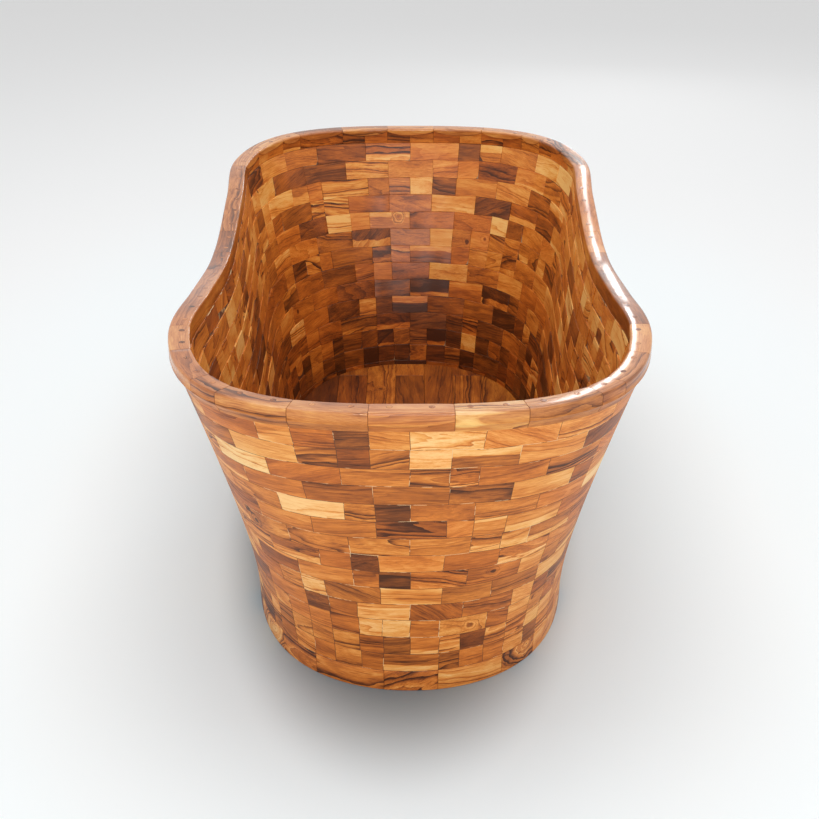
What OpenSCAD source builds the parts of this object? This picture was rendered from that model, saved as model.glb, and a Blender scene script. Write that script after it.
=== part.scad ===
/* [Outline of the tub] */
// Length over the rim
tub_l = 1700; // [1500:10:1900]
// Width of the rim's full oval, before the waist draws its sides in
tub_w = 848; // [760:2:960]
// Height of the rim's top at both ends
end_h = 646; // [580:2:700]
// How much lower the rim lies at mid-length
dip = 42; // [0:1:70]
// Share of the half-length where the rim begins to rise
dip_from = 0.02; // [0:0.01:0.2]
// Share of the half-length where the rim reaches its full height
dip_to = 0.58; // [0.5:0.01:0.9]
// Share of the width that the waist takes off the middle of the rim
waist = 0.036; // [0:0.002:0.1]
// Share of the half-length where the waist begins to widen
waist_from = 0.36; // [0.2:0.01:0.45]
// Share of the half-length where the rim is at its full width again
waist_to = 0.64; // [0.55:0.01:0.8]
// How square the sides of the rim's oval are, where 2 is an ellipse
rim_side_power = 2.8; // [2.2:0.1:4]
// How square the ends of the rim's oval are
rim_end_power = 5.6; // [3:0.1:7]

/* [Wall] */
// Thickness of the wall
wall_t = 23; // [20:1:32]
// How far the foot lies inside the rim at each end
foot_in_l = 176; // [120:2:220]
// How far the foot lies inside the rim on each side
foot_in_w = 102; // [70:2:130]
// How soft the bend from the upright foot to the flared wall is
bend = 0.34; // [0.15:0.01:0.6]
// How square the sides of the foot's oval are
foot_side_power = 2.05; // [2:0.05:3]
// How square the ends of the foot's oval are
foot_end_power = 3.9; // [2.5:0.1:5]
// Number of courses of blocks between the foot ring and the rim
courses = 14; // [12:1:16]
// Number of steps round the tub, on which every upright joint falls
steps = 72; // [64:4:80]
// Width of a glue line
glue = 0.3; // [0.2:0.05:0.5]
// How far an upright joint strays from even spacing, as a share of a step
stray = 0.15; // [0:0.05:0.15]
// Mean length of a block in the upper courses
block_l = 84; // [70:2:100]
// Mean length of a block in the lowest courses
low_block_l = 50; // [46:2:80]
// Number of lowest courses that are laid with short blocks
low_courses = 3; // [1:1:5]

/* [Foot ring] */
// Height of the foot ring
ring_h = 44; // [36:1:60]
// Width of the foot ring, which carries the floor on its inner ledge
ring_w = 45; // [40:1:56]
// Mean length of a piece of the foot ring
ring_piece_l = 116; // [100:2:140]

/* [Rim] */
// Height of the rim
rim_h = 36; // [28:1:44]
// Overhang of the rim outside the wall
rim_over = 12; // [8:1:18]
// How far the rim stands in over the inside of the wall
rim_in = 1; // [0:0.5:4]
// Radius of the rim's two upper edges
rim_round = 9; // [5:0.5:12]
// Height of the hollow moulding under the overhang
rim_cove = 15; // [10:1:16]
// Mean length of a rim piece, apart from the long ones on the sides
rim_piece_l = 110; // [90:2:130]
// Length of the long pieces at the ends of each side of the rim
rim_long_l = 360; // [200:20:380]
// Diameter of the wooden plugs that cover the rim's screws
plug_d = 10; // [9.5:0.5:12]
// Depth of the plug holes
plug_deep = 8; // [6:0.5:10]
// Diameter of the rim's screws
screw_d = 4.5; // [4:0.5:5]
// Diameter of a screw's head
screw_head_d = 8.5; // [7:0.5:9]
// Length of a screw below its head
screw_l = 42; // [36:1:48]

/* [Floor] */
// Floor boards on each side of the middle one
side_boards = 3; // [2:1:4]
// Thickness of the floor
floor_t = 30; // [24:1:36]
// Longest piece of a floor board
board_l = 380; // [260:10:500]
// Width of a bearer under the floor
bearer_w = 60; // [40:1:80]
// Height of a bearer
bearer_h = 36; // [24:1:40]
// Distance from one bearer to the next
bearer_pitch = 270; // [200:5:300]

/* [Waste] */
// Diameter of the threaded tail, for a one and a half inch trap
tail_d = 47.8; // [46.4:0.1:50]
// Diameter of the waste's bore
waste_bore_d = 40; // [34:0.5:42]
// Diameter of the flange on the floor
flange_d = 70; // [64:1:80]
// Thickness of the flange
flange_t = 3; // [2:0.5:5]
// Height at which the tail ends over the room's floor
tail_end_z = 8; // [4:1:12]
// Thickness of the rubber washers above and below the floor
washer_t = 2.5; // [1.5:0.5:4]
// Height of the lock nut
nut_h = 8; // [6:0.5:10]
// Width of the lock nut across its flats
nut_flats = 60; // [56:1:66]
// Diameter of the plug's stem
stem_d = 8; // [6:0.5:10]
// How far the plug lifts
lift = 9; // [6:0.5:12]

/* [Hidden] */
$fn = 48;
tiny = 0.01;
quarter_samples = 40;
half_l = tub_l / 2 - rim_over;
half_w = tub_w / 2 - rim_over;
wall_end_z = end_h - rim_h;
wall_mid_z = wall_end_z - dip;
levels = courses + 1;

// The outermost boards run on to the wall
board_w = (half_w - foot_in_w - wall_t) / (side_boards + 1);
boards = 2 * side_boards + 1;
COURSES = ["course_01", "course_02", "course_03", "course_04", "course_05", "course_06",
           "course_07", "course_08", "course_09", "course_10", "course_11", "course_12",
           "course_13", "course_14", "course_15", "course_16"];
BOARDS = ["floor_board_1", "floor_board_2", "floor_board_3", "floor_board_4", "floor_board_5",
          "floor_board_6", "floor_board_7", "floor_board_8", "floor_board_9"];

// Tones of the courses
TEAK = ["peru", "chocolate", "sandybrown", "sienna"];

// Places along a rim screw, counted from the rim's underside
plug_z = rim_h - plug_deep;
head_z = plug_z - glue - screw_head_d / 4;
screw_tip_z = plug_z - glue - screw_l;
// Shares of the overhang and of the cove's height that set the hollow moulding
cove_out = 0.5;
cove_up = 0.45;
cove_in = 0.2;
// Steps of the rim that belong to half of an end
end_steps = 2 * round(steps / 14.4);

// Heights of the floor and what carries it
floor_z = ring_h + glue / 2;
floor_top = floor_z + floor_t;
bearer_z = ring_h - glue / 2 - bearer_h;
bearers = floor((half_l - foot_in_l - ring_w - bearer_w / 2) / bearer_pitch + 0.5);

// Places in the waste: the flange's underside, and heights counted from it
waste_hole_d = tail_d + 2.4;
flange_z = floor_top + washer_t;
tail_l = flange_z - tail_end_z;
nut_z = floor_z - washer_t - nut_h;
chamfer = 1;
groove_h = 2;
groove_z = nut_z - flange_z - groove_h;
dish_wall = 1.5;
dish_h = (tail_d - waste_bore_d) / 2 - dish_wall + flange_t;
dish_d = waste_bore_d + 2 * dish_h;
guide_h = 6;
guide_z = -22;
guide_d = stem_d + 8;
arm_w = 4;
stem_fit = 0.05;
// The plug's ring is cut along the dish, clear of it by a slip, and the cap lies just over the ring
slip = 0.3;
seal_h = 4;
seal_w = 5;
core_d = waste_bore_d - 4;
seal_z = flange_t - seal_h;
seal_low_d = waste_bore_d + 2 * (seal_z - flange_t + dish_h) - 2 * slip * sqrt(2);
cap_z = seal_z + seal_h + glue / 2;
cap_d = dish_d + 2 * (cap_z - flange_t) - 4 * slip;
cap_edge = 1;
cap_rise = 2;
// The clip on the stem's end stops the plug at the top of its travel
clip_t = 1.5;
clip_d = stem_d + 5;
clip_hold_d = stem_d - 2;
clip_play = 0.05;
clip_z = guide_z - lift - slip;

// A repeatable number from 0 to 1 for two whole numbers
function chance(a, b) = let (v = 1000 * sin(61.73 * a + 137.51 * b)) v - floor(v);
// A power that keeps the sign of its base
function keep_power(v, p) = sign(v) * pow(abs(v), p);
// A smooth step from 0 at a to 1 at b
function ease(v, a, b) = let (q = min(1, max(0, (v - a) / (b - a)))) q * q * (3 - 2 * q);
// An angle for a turn counted in quarters, drawn out near the axes where an oval's points lie thin
function turn_angle(u) =
    let (q = floor(u), r = u - q, a = pow(r, 3), b = pow(1 - r, 3)) 90 * (q + a / (a + b));
// Share of the foot's inset that is left at a height
function foot_share(z) =
    1 - (sqrt(pow(z / wall_end_z, 2) + bend * bend) - bend) / (sqrt(1 + bend * bend) - bend);
// How far along the tub a turn lies, from -1 at the near end to 1 at the far end
function along(u) = keep_power(cos(turn_angle(u)), 2 / rim_end_power);
// Height of the wall's top
function wall_top(u) = wall_mid_z + dip * ease(abs(along(u)), dip_from, dip_to);
// Height of a level: 0 is the ground, 1 the top of the foot ring, and the last one the wall's top
function level_z(i, u) = i == 0 ? 0 : ring_h + (i - 1) / courses * (wall_top(u) - ring_h);
// A point on the outside of the wall, at a level and a turn
function wall_point(i, u) =
    let (
        z = level_z(i, u),
        f = foot_share(z),
        a = turn_angle(u),
        side = rim_side_power + (foot_side_power - rim_side_power) * f,
        end = rim_end_power + (foot_end_power - rim_end_power) * f,
        narrow = 1 - waist * (1 - ease(abs(along(u)), waist_from, waist_to)) * z / wall_end_z
    )
    [(half_w - foot_in_w * f) * keep_power(sin(a), 2 / side) * narrow,
     (half_l - foot_in_l * f) * keep_power(cos(a), 2 / end),
     z];
// Outward direction of the wall in plan
function wall_normal(i, u) =
    let (d = wall_point(i, u + tiny) - wall_point(i, u - tiny), n = norm([d.x, d.y]))
    [-d.y / n, d.x / n, 0];

// Distances round the tub in plan, for every level
samples = 4 * quarter_samples;
RUNS = [for (i = [0:levels])
    let (ring = [for (j = [0:samples]) let (p = wall_point(i, j / quarter_samples)) [p.x, p.y]])
    [for (j = 0, s = 0; j <= samples; s = s + (j < samples ? norm(ring[j + 1] - ring[j]) : 0), j = j + 1) s]];
// Turns by even step, for every level: pairs of a step number and a turn
LEVELS = [for (run = RUNS) [for (j = [0:samples]) [steps * run[j] / run[samples], j / quarter_samples]]];
// How far each step lies off its even place: none at the middles of the ends and sides
STRAYS = [for (k = [0:steps - 1]) k % (steps / 4) == 0 ? 0 : stray * (2 * chance(0, k) - 1)];
// The turn of a whole step
function turn(i, k) = let (q = k - steps * floor(k / steps)) lookup(q + STRAYS[q], LEVELS[i]);
// A corner in the wall at a level and a whole step, so deep behind the outside and so far above the level
function corner(i, k, depth, up) =
    let (u = turn(i, k)) wall_point(i, u) - depth * wall_normal(i, u) + [0, 0, up];
// The same for any step: between two whole ones it lies on the straight line that joins them
function at(i, k, depth = 0, up = 0) =
    let (a = floor(k), low = corner(i, a, depth, up))
    k == a ? low : low + (k - a) * (corner(i, a + 1, depth, up) - low);
// Mean length of a step along a level
function mean_step(i) = RUNS[i][samples] / steps;
// Half a glue line, counted in steps from one step towards the next
function half_glue(i, k, next) = glue / 2 / norm(at(i, k) - at(i, next));
// The steps of one block, with half a glue line taken off both ends
function block_steps(i, a, b) = concat(
    [a + half_glue(i, a, a + 1)], [for (k = [a + 1:1:b - 1]) k], [b - half_glue(i, b, b - 1)]);
// Steps at which a row from a to b is cut into pieces of about one length
function even_cuts(a, b, length, i) =
    let (n = round((b - a) * mean_step(i) / length)) [for (j = [0:n]) round(a + (b - a) * j / n)];

// Faces of a bar swept through rings of n points, with both ends closed, from a first point on
function bar_faces(n, rings, first) = concat(
    [for (j = [1:n - 2]) [first, first + j, first + j + 1]],
    [for (r = [0:rings - 2], j = [0:n - 1], half = [0, 1])
        let (a = first + r * n + j, b = first + r * n + (j + 1) % n)
        half == 0 ? [a, a + n, b] : [b, a + n, b + n]],
    [for (j = [1:n - 2]) let (e = first + (rings - 1) * n) [e, e + j + 1, e + j]]);
// Many closed bars as one body of separate solids; each bar is a list of rings of n points
module bars(n, list) {
    counts = [for (bar = list) n * len(bar)];
    starts = [for (j = 0, s = 0; j < len(list); s = s + counts[j], j = j + 1) s];
    polyhedron(
        points = [for (bar = list, ring = bar, p = ring) p],
        faces = [for (j = [0:len(list) - 1], f = bar_faces(n, len(list[j]), starts[j])) f]);
}

// Where the blocks of a course begin: blocks of two steps in running bond, some of them cut in two,
// and more of them the wider the wall is, so that the blocks keep their mean length
function course_cuts(c) =
    let (share = 2 * mean_step(c) / (c <= low_courses ? low_block_l : block_l) - 1)
    [for (j = [0:steps / 2 - 1], half = [0:chance(c, j + 1) < share ? 1 : 0]) 2 * j + half + c % 2];
// One block of a course, from step a to step b
function block(c, a, b) = [for (k = block_steps(c, a, b)) [
    at(c, k, 0, glue / 2), at(c + 1, k, 0, -glue / 2),
    at(c + 1, k, wall_t, -glue / 2), at(c, k, wall_t, glue / 2)]];
module course_blocks(c) {
    cuts = course_cuts(c);
    bars(4, [for (j = [0:len(cuts) - 1])
        block(c, cuts[j], j < len(cuts) - 1 ? cuts[j + 1] : cuts[0] + steps)]);
}
module course(c) {
    if (c < courses) color(TEAK[c % len(TEAK)]) course_blocks(c);
    if (c == courses) color(TEAK[c % len(TEAK)]) difference() {
        course_blocks(c);
        for (k = [0:steps - 1]) at_screw(k) screw_hole();
    }
}

module foot_ring() {
    cuts = even_cuts(0, steps, ring_piece_l, 1);
    color("sienna")
    bars(4, [for (j = [0:len(cuts) - 2]) [for (k = block_steps(1, cuts[j], cuts[j + 1])) [
        at(0, k), at(1, k, 0, -glue / 2), at(1, k, ring_w, -glue / 2), at(0, k, ring_w)]]]);
}

// The rim's section: distance out from the wall's outside, and height above the rim's underside
function quarter_arc(x, y, r, from) =
    [for (a = [from:-45:from - 90]) [x + r * cos(a), y + r * sin(a)]];
rim_section = concat(
    [[-wall_t - rim_in, 0]],
    quarter_arc(-wall_t - rim_in + rim_round, rim_h - rim_round, rim_round, 180),
    quarter_arc(rim_over - rim_round, rim_h - rim_round, rim_round, 90),
    [[rim_over, rim_cove], [rim_over * cove_out, rim_cove * cove_up], [rim_over * cove_in, 0]]);
function rim_ring(k) = [for (q = rim_section) at(levels, k, -q.x, q.y + glue / 2)];
// Where the rim is cut: short pieces round the ends, and two long ones on each side with short ones between
long_steps = round(rim_long_l / mean_step(levels));
function end_cuts(a, b) = even_cuts(a, b, rim_piece_l, levels);
function side_cuts(a, b) = concat([a], end_cuts(a + long_steps, b - long_steps), [b]);

// A screw stands in the middle of the wall, half a step past each whole step
module at_screw(k) translate(at(levels, k + 0.5, wall_t / 2, glue / 2)) children();
// The hole for a screw and its plug, whose height is counted from the rim's underside
module screw_hole() {
    rotate_extrude() polygon([
        [0, screw_tip_z - glue], [screw_d / 2 + glue / 2, screw_tip_z - glue],
        [screw_d / 2 + glue / 2, head_z - glue], [screw_head_d / 2 + glue / 2, head_z - glue],
        [screw_head_d / 2 + glue / 2, plug_z], [plug_d / 2, plug_z],
        [plug_d / 2, rim_h + glue], [0, rim_h + glue]]);
}
module rim_part(cuts) {
    last = len(cuts) - 1;
    color("sienna") difference() {
        bars(len(rim_section),
             [for (j = [0:last - 1]) [for (k = block_steps(levels, cuts[j], cuts[j + 1])) rim_ring(k)]]);
        for (k = [cuts[0]:cuts[last] - 1]) at_screw(k) screw_hole();
    }
}
module rim_screws() {
    color("silver") for (k = [0:steps - 1]) at_screw(k) rotate_extrude() polygon([
        [0, screw_tip_z], [screw_d / 2, screw_tip_z + screw_d], [screw_d / 2, head_z],
        [screw_head_d / 2, plug_z - glue], [0, plug_z - glue]]);
}
module rim_plugs() {
    color("saddlebrown") for (k = [0:steps - 1]) at_screw(k)
        translate([0, 0, plug_z]) cylinder(d = plug_d - glue, h = plug_deep);
}

// The room inside the lowest course, where the floor lies, and the room inside the foot ring
function floor_edge(k, z) =
    let (low = at(1, k, wall_t + glue), high = at(2, k, wall_t + glue))
    low + (z - low.z) / (high.z - low.z) * (high - low);
// Only the outline's points at and beside the strip from left to right are needed
module floor_room(left, right) {
    near = [for (k = [steps:-1:1]) let (x = floor_edge(k, floor_z).x) if (x > left && x < right) k];
    bars(len(near), [[for (z = [floor_z - 1, floor_top + 1]) [for (k = near) floor_edge(k, z)]]]);
}
module ring_room() {
    bars(steps, [[for (i = [0, 1]) [for (k = [steps:-1:1]) at(i, k, ring_w + glue)]]]);
}
// One floor board, counted from the left, made of pieces laid end to end
module floor_board(b) {
    place = b - side_boards - 1;
    left = b == 1 ? -half_w : (place - 0.5) * board_w + glue / 2;
    right = b == boards ? half_w : (place + 0.5) * board_w - glue / 2;
    shift = b % 2 == 0 ? board_l / 2 : 0;
    pieces = ceil(half_l / board_l) + 1;
    if (b <= boards) color(b % 2 == 0 ? "chocolate" : "sienna") difference() {
        intersection() {
            floor_room(left - board_w * 1.5, right + board_w * 1.5);
            for (j = [-pieces:pieces - 1])
                translate([left, j * board_l + shift + glue / 2, floor_z])
                    cube([right - left, board_l - glue, floor_t]);
        }
        if (left < waste_hole_d / 2 && right > -waste_hole_d / 2)
            translate([0, 0, floor_z - 1]) cylinder(d = waste_hole_d, h = floor_t + 2);
    }
}
module floor_bearers() {
    color("peru") intersection() {
        ring_room();
        for (side = [-1, 1], j = [0:bearers - 1])
            translate([-half_w, side * (j + 0.5) * bearer_pitch - bearer_w / 2, bearer_z])
                cube([2 * half_w, bearer_w, bearer_h]);
    }
}

// A round washer between a seat and what clamps it
module washer(inside, outside, z) {
    color("dimgray") translate([0, 0, z]) difference() {
        cylinder(d = outside, h = washer_t);
        translate([0, 0, -1]) cylinder(d = inside, h = washer_t + 2);
    }
}
module waste_body() {
    color("gainsboro") translate([0, 0, flange_z]) {
        rotate_extrude() polygon([
            [waste_bore_d / 2, -tail_l], [tail_d / 2 - chamfer, -tail_l],
            [tail_d / 2, -tail_l + chamfer], [tail_d / 2, groove_z],
            [tail_d / 2 - chamfer, groove_z], [tail_d / 2 - chamfer, groove_z + groove_h],
            [tail_d / 2, groove_z + groove_h], [tail_d / 2, 0],
            [flange_d / 2, 0], [flange_d / 2, flange_t / 2], [flange_d / 2 - flange_t, flange_t],
            [dish_d / 2, flange_t], [waste_bore_d / 2, flange_t - dish_h]]);
        translate([0, 0, guide_z]) difference() {
            union() {
                cylinder(d = guide_d, h = guide_h);
                for (a = [0:120:240]) rotate(a)
                    translate([0, -arm_w / 2, 0]) cube([(waste_bore_d + tail_d) / 4, arm_w, guide_h]);
            }
            translate([0, 0, -1]) cylinder(d = stem_d + 2 * stem_fit, h = guide_h + 2);
        }
    }
}
module waste_nut() {
    color("silver") translate([0, 0, nut_z]) difference() {
        cylinder(d = nut_flats / cos(30), h = nut_h, $fn = 6);
        translate([0, 0, -1]) cylinder(d = tail_d + glue, h = nut_h + 2);
    }
}
module waste_plug() {
    color("gainsboro") translate([0, 0, flange_z]) rotate_extrude() polygon(concat(
        [[0, clip_z - 2 * clip_t], [stem_d / 2, clip_z - 2 * clip_t],
         [stem_d / 2, clip_z - clip_t], [clip_hold_d / 2, clip_z - clip_t],
         [clip_hold_d / 2, clip_z], [stem_d / 2, clip_z],
         [stem_d / 2, seal_z], [core_d / 2, seal_z],
         [core_d / 2, cap_z], [cap_d / 2, cap_z], [cap_d / 2, cap_z + cap_edge]],
        [for (q = [0.75:-0.25:0]) [cap_d / 2 * q, cap_z + cap_edge + cap_rise * (1 - q * q)]]));
}
module waste_plug_ring() {
    inside = (core_d + glue) / 2;
    outside = inside + seal_w;
    color("dimgray") translate([0, 0, flange_z + seal_z]) rotate_extrude() polygon([
        [inside, 0], [seal_low_d / 2, 0], [outside, outside - seal_low_d / 2],
        [outside, seal_h], [inside, seal_h]]);
}
module waste_stem_clip() {
    color("silver") translate([0, 0, flange_z + clip_z - clip_t + clip_play]) difference() {
        cylinder(d = clip_d, h = clip_t - 2 * clip_play);
        translate([0, 0, -1]) cylinder(d = clip_hold_d + glue, h = clip_t + 2);
    }
}

foot_ring();
course(1);  // course_01
course(2);  // course_02
course(3);  // course_03
course(4);  // course_04
course(5);  // course_05
course(6);  // course_06
course(7);  // course_07
course(8);  // course_08
course(9);  // course_09
course(10);  // course_10
course(11);  // course_11
course(12);  // course_12
course(13);  // course_13
course(14);  // course_14
course(15);  // course_15
course(16);  // course_16
rim_part(end_cuts(steps / 2 - end_steps, steps / 2 + end_steps));  // rim_near_end
rim_part(side_cuts(steps / 2 + end_steps, steps - end_steps));  // rim_left_side
rim_part(end_cuts(-end_steps, end_steps));  // rim_far_end
rim_part(side_cuts(end_steps, steps / 2 - end_steps));  // rim_right_side
rim_screws();
rim_plugs();
floor_board(1);  // floor_board_1
floor_board(2);  // floor_board_2
floor_board(3);  // floor_board_3
floor_board(4);  // floor_board_4
floor_board(5);  // floor_board_5
floor_board(6);  // floor_board_6
floor_board(7);  // floor_board_7
floor_board(8);  // floor_board_8
floor_board(9);  // floor_board_9
floor_bearers();
waste_body();
washer(tail_d + glue, flange_d - 4, floor_top);  // waste_floor_washer
washer(tail_d + glue, nut_flats - 2, floor_z - washer_t);  // waste_nut_washer
waste_nut();
waste_plug();
waste_plug_ring();
waste_stem_clip();
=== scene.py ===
"""Looks of a block-built wooden bathtub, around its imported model. Lengths are in metres."""
import math
from collections import namedtuple

import bpy
import numpy as np
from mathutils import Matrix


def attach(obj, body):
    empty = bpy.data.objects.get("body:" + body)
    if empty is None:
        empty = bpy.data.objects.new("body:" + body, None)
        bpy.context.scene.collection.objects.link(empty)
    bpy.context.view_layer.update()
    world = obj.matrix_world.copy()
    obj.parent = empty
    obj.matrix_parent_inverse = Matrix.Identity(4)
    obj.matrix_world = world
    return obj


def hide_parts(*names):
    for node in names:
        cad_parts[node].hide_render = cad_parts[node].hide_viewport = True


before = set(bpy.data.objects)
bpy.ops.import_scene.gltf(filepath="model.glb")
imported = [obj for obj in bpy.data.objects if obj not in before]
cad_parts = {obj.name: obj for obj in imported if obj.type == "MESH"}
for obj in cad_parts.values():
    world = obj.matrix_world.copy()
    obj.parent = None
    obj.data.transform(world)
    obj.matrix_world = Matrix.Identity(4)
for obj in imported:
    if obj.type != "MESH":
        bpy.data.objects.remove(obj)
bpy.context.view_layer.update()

# Outline of the tub
TUB_L, TUB_W, END_H = 1.700, 0.848, 0.646
DIP, DIP_FROM, DIP_TO = 0.042, 0.02, 0.58
WAIST, WAIST_FROM, WAIST_TO = 0.036, 0.36, 0.64
RIM_SIDE_POWER, RIM_END_POWER = 2.8, 5.6
FOOT_SIDE_POWER, FOOT_END_POWER = 2.05, 3.9
FOOT_IN_L, FOOT_IN_W, BEND = 0.176, 0.102, 0.34

# Wall, foot ring and glue
WALL_T = 0.023
COURSES, STEPS = 14, 72
BLOCK_L, LOW_BLOCK_L, LOW_COURSES = 0.084, 0.050, 3
STRAY = 0.15
RING_H, RING_W, RING_PIECE_L = 0.044, 0.045, 0.116
GLUE = 0.0003

# Rim. Its end parts reach END_STEPS steps to each side of the ends' middles.
RIM_H, RIM_OVER, RIM_IN = 0.036, 0.012, 0.001
RIM_PIECE_L, RIM_LONG_L, END_STEPS = 0.110, 0.360, 10
RIM_EDGE, NOSE_ROUND = 0.004, 0.0042
RIM_COVE, COVE_PULL, COVE_FOOT = 0.015, 0.4, 0.2
LIP, LIP_OUT, LIP_EDGE = 0.007, 0.0015, 0.0022
SCALLOP, SCALLOP_POWER, LIP_POWER = 0.011, 2.6, 6
LINING_T = 0.006
PLUG_R, PLUG_DEEP = 0.00485, 0.006

# Floor boards
FLOOR_T, BOARD_L, SIDE_BOARDS = 0.030, 0.380, 3
BOARD_END_L = 0.020
FLOOR_Z = RING_H + GLUE / 2

# Levels count the level joints from the ground up, and steps go round from the far end's middle
LEVELS, HALF_STEPS = COURSES + 1, STEPS // 2
HALF_L, HALF_W = TUB_L / 2 - RIM_OVER, TUB_W / 2 - RIM_OVER
WALL_END_Z = END_H - RIM_H
BOARD_W = (HALF_W - FOOT_IN_W - WALL_T) / (SIDE_BOARDS + 1)

# Handwork: eased edges, glue just behind the faces or squeezed out, and blocks a little off true
EASED, GLUE_DEPTH, BEAD_R = 0.0005, 0.00025, 0.0018
STEP_DEPTH, LIFT, FLATTENED = 0.0026, 0.0022, 0.9
WAVER, JOINT_STRAY = 0.04, 0.0016

# First numbers given to chance for the two ends of upright joints and for level joints
LOW_END_ROW, HIGH_END_ROW, WAVER_ROW = 40, 60, 80

# Height up to which the painted shade in the room of the tub is darkest, and over how much more
# height it fades out
SHADE_FULL_Z, SHADE_FADE_H = 0.10, 0.40

# Fineness of the meshes: lengths along or up a piece, shares of its height or width, counts,
# and the angle from which an edge is sharp
BLOCK_PITCH, RIM_PITCH, LINING_PITCH, BOARD_PITCH = 0.011, 0.010, 0.015, 0.020
COURSE_PITCH, RING_PITCH, ACROSS_PITCH = 0.3, 0.25, 0.2
QUARTER_SAMPLES, ROOM_SAMPLES, BEAD_SAMPLES = 40, 400, 160
BED_ROWS, BED_COLUMNS = 3, 7
EDGE_POINTS, NOSE_POINTS, COVE_POINTS, PLUG_POINTS, BEAD_POINTS = 5, 8, 7, 20, 8
SHARP_FROM = math.radians(28)


# The tub's surface

def keep_power(value, power):
    """A power of a value that keeps its sign."""
    return np.sign(value) * np.abs(value) ** power


def ease(value, start, end):
    """Rises smoothly from 0 at the start to 1 at the end."""
    share = np.clip((value - start) / (end - start), 0, 1)
    return share * share * (3 - 2 * share)


def chance(a, b):
    """A repeatable number from 0 to 1 for two whole numbers, as in the model's source."""
    value = 1000 * np.sin(np.radians(61.73 * a + 137.51 * b))
    return value - np.floor(value)


def turn_angle(turn):
    """The angle of a turn counted in quarters. It is slow past the middles of the sides and ends,
    where a small angle goes a long way round."""
    quarter = np.floor(turn)
    rest = turn - quarter
    up, down = rest ** 3, (1 - rest) ** 3
    return (quarter + up / (up + down)) * math.pi / 2


def foot_share(z):
    """How far the wall is drawn in at a height, from 1 at the ground to 0 under the rim."""
    return 1 - (np.sqrt((z / WALL_END_Z) ** 2 + BEND ** 2) - BEND) / (math.sqrt(1 + BEND ** 2) - BEND)


def wall_point(level, turn):
    """The outside of the wall at a level and a turn, either of which may be an array."""
    angle = turn_angle(turn)
    along = np.abs(keep_power(np.cos(angle), 2 / RIM_END_POWER))
    top = WALL_END_Z - DIP + DIP * ease(along, DIP_FROM, DIP_TO)
    z = np.where(level < 1, level * RING_H, RING_H + (level - 1) / COURSES * (top - RING_H))
    share = foot_share(z)
    side = RIM_SIDE_POWER + (FOOT_SIDE_POWER - RIM_SIDE_POWER) * share
    end = RIM_END_POWER + (FOOT_END_POWER - RIM_END_POWER) * share
    narrow = 1 - WAIST * (1 - ease(along, WAIST_FROM, WAIST_TO)) * z / WALL_END_Z
    x = (HALF_W - FOOT_IN_W * share) * keep_power(np.sin(angle), 2 / side) * narrow
    y = (HALF_L - FOOT_IN_L * share) * keep_power(np.cos(angle), 2 / end)
    return np.stack([x, y, z], -1)


def level_runs():
    """For every level, the distances round the tub in plan at evenly counted turns."""
    turns = np.arange(4 * QUARTER_SAMPLES + 1) / QUARTER_SAMPLES
    runs = []
    for level in range(LEVELS + 1):
        ring = wall_point(level, turns)[:, :2]
        runs.append(np.r_[0, np.cumsum(np.linalg.norm(np.diff(ring, axis=0), axis=1))])
    return turns, runs


TURNS, RUNS = level_runs()
STRAYS = np.array([0 if k % (STEPS // 4) == 0 else STRAY * (2 * chance(0, k) - 1)
                   for k in range(STEPS + 1)])


def turn(level, step):
    """The turn of a step on a whole level."""
    place = np.mod(step, STEPS)
    place = place + np.interp(place, np.arange(STEPS + 1), STRAYS)
    return np.interp(place, STEPS * RUNS[level] / RUNS[level][-1], TURNS)


def surface(level, step, depth=0.0):
    """A point of the smooth wall at any level and step, so deep behind its outside."""
    level, step, depth = np.broadcast_arrays(
        *(np.asarray(v, float) for v in (level, step, depth)))
    low = np.clip(np.floor(level).astype(int), 0, LEVELS - 1)
    share = level - low
    place = np.empty(level.shape)
    for whole in np.unique(low):
        here = low == whole
        first, second = turn(whole, step[here]), turn(whole + 1, step[here])
        gap = np.mod(second - first + 2, 4) - 2
        place[here] = first + share[here] * gap
    tiny = 0.01
    point = wall_point(level, place)
    ahead = wall_point(level, place + tiny) - wall_point(level, place - tiny)
    out = np.stack([-ahead[..., 1], ahead[..., 0], np.zeros(level.shape)], -1)
    out /= np.linalg.norm(out, axis=-1, keepdims=True)
    return point - depth[..., None] * out


def mean_step(level):
    """Mean length of a step on a level."""
    return RUNS[level][-1] / STEPS


def even_cuts(first, last, length, level):
    """Whole steps that cut a run into pieces of about one length."""
    count = math.floor((last - first) * mean_step(level) / length + 0.5)
    return [math.floor(first + (last - first) * j / count + 0.5) for j in range(count + 1)]


def course_cuts(course):
    """Whole steps at which a course is jointed, into blocks of one or two steps."""
    share = 2 * mean_step(course) / (LOW_BLOCK_L if course <= LOW_COURSES else BLOCK_L) - 1
    cuts = []
    for j in range(HALF_STEPS):
        cuts.append(2 * j + course % 2)
        if chance(course, j + 1) < share:
            cuts.append(cuts[-1] + 1)
    return cuts + [cuts[0] + STEPS]


# Meshes

def add_object(name, data):
    """Puts a mesh, a lamp or a camera into the scene."""
    thing = bpy.data.objects.new(name, data)
    bpy.context.scene.collection.objects.link(thing)
    return thing


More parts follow.
